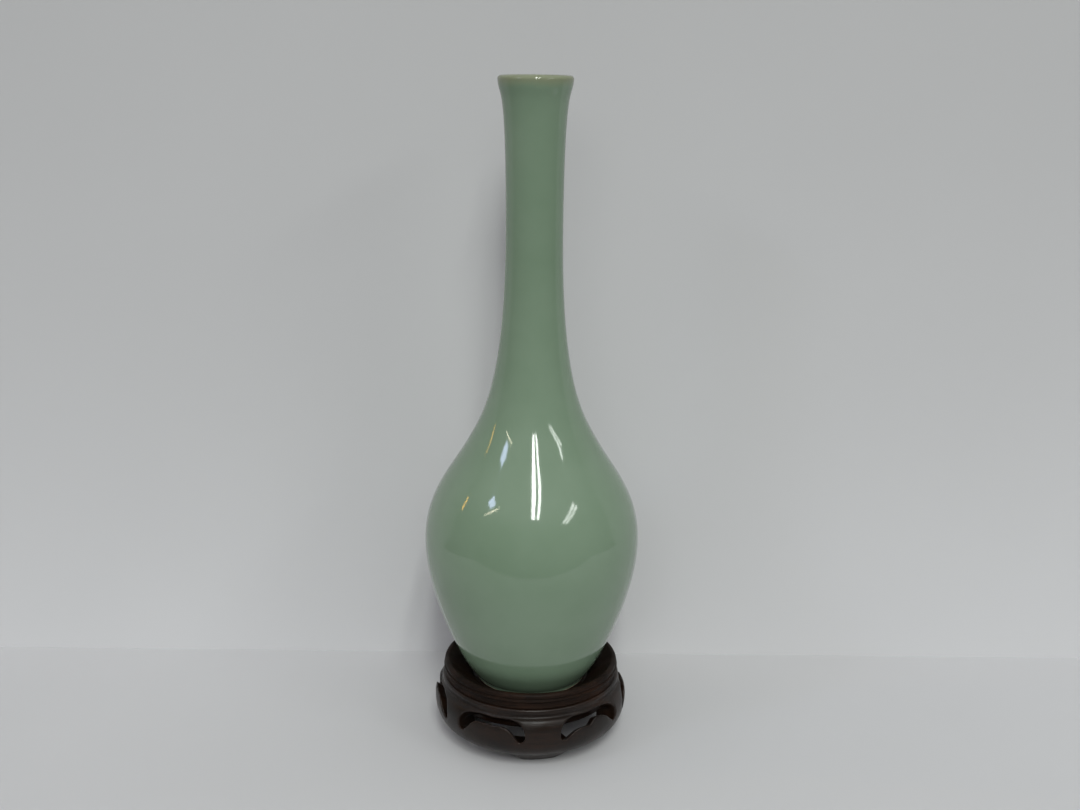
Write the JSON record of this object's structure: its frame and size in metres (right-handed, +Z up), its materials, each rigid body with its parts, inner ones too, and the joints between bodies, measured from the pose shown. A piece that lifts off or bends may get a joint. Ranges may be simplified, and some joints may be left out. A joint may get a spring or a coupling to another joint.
{
  "type": "bud vase",
  "caption": "Tall bottle vase in celadon glaze, standing loose on a dark turned and carved wooden stand with pierced cloud-shaped bays and low feet.",
  "frame": {"origin": "on the table, on the axis that the vase and its stand share", "axes": "+Z up along the vase's axis, -Y towards the middle of one footed leg, +X to the right seen from that leg"},
  "size_m": [0.0968, 0.0968, 0.2999],
  "materials": {
    "base_wood": "dark stained and polished",
    "collar_wood": "dark stained and polished",
    "panel_wood": "dark stained and waxed",
    "celadon_glaze": "glossy grey-green glaze"
  },
  "bodies": {
    "stand": {"carved_base": "base_wood", "collar_ring": "collar_wood", "seat_panel": "panel_wood"},
    "vase": {"vase": "celadon_glaze"}
  },
  "joints": [
    {"name": "vase_lift", "type": "slide", "parent": "stand", "child": "vase", "axis": [0, 0, 1], "range_m": [0, 0.06]}
  ]
}
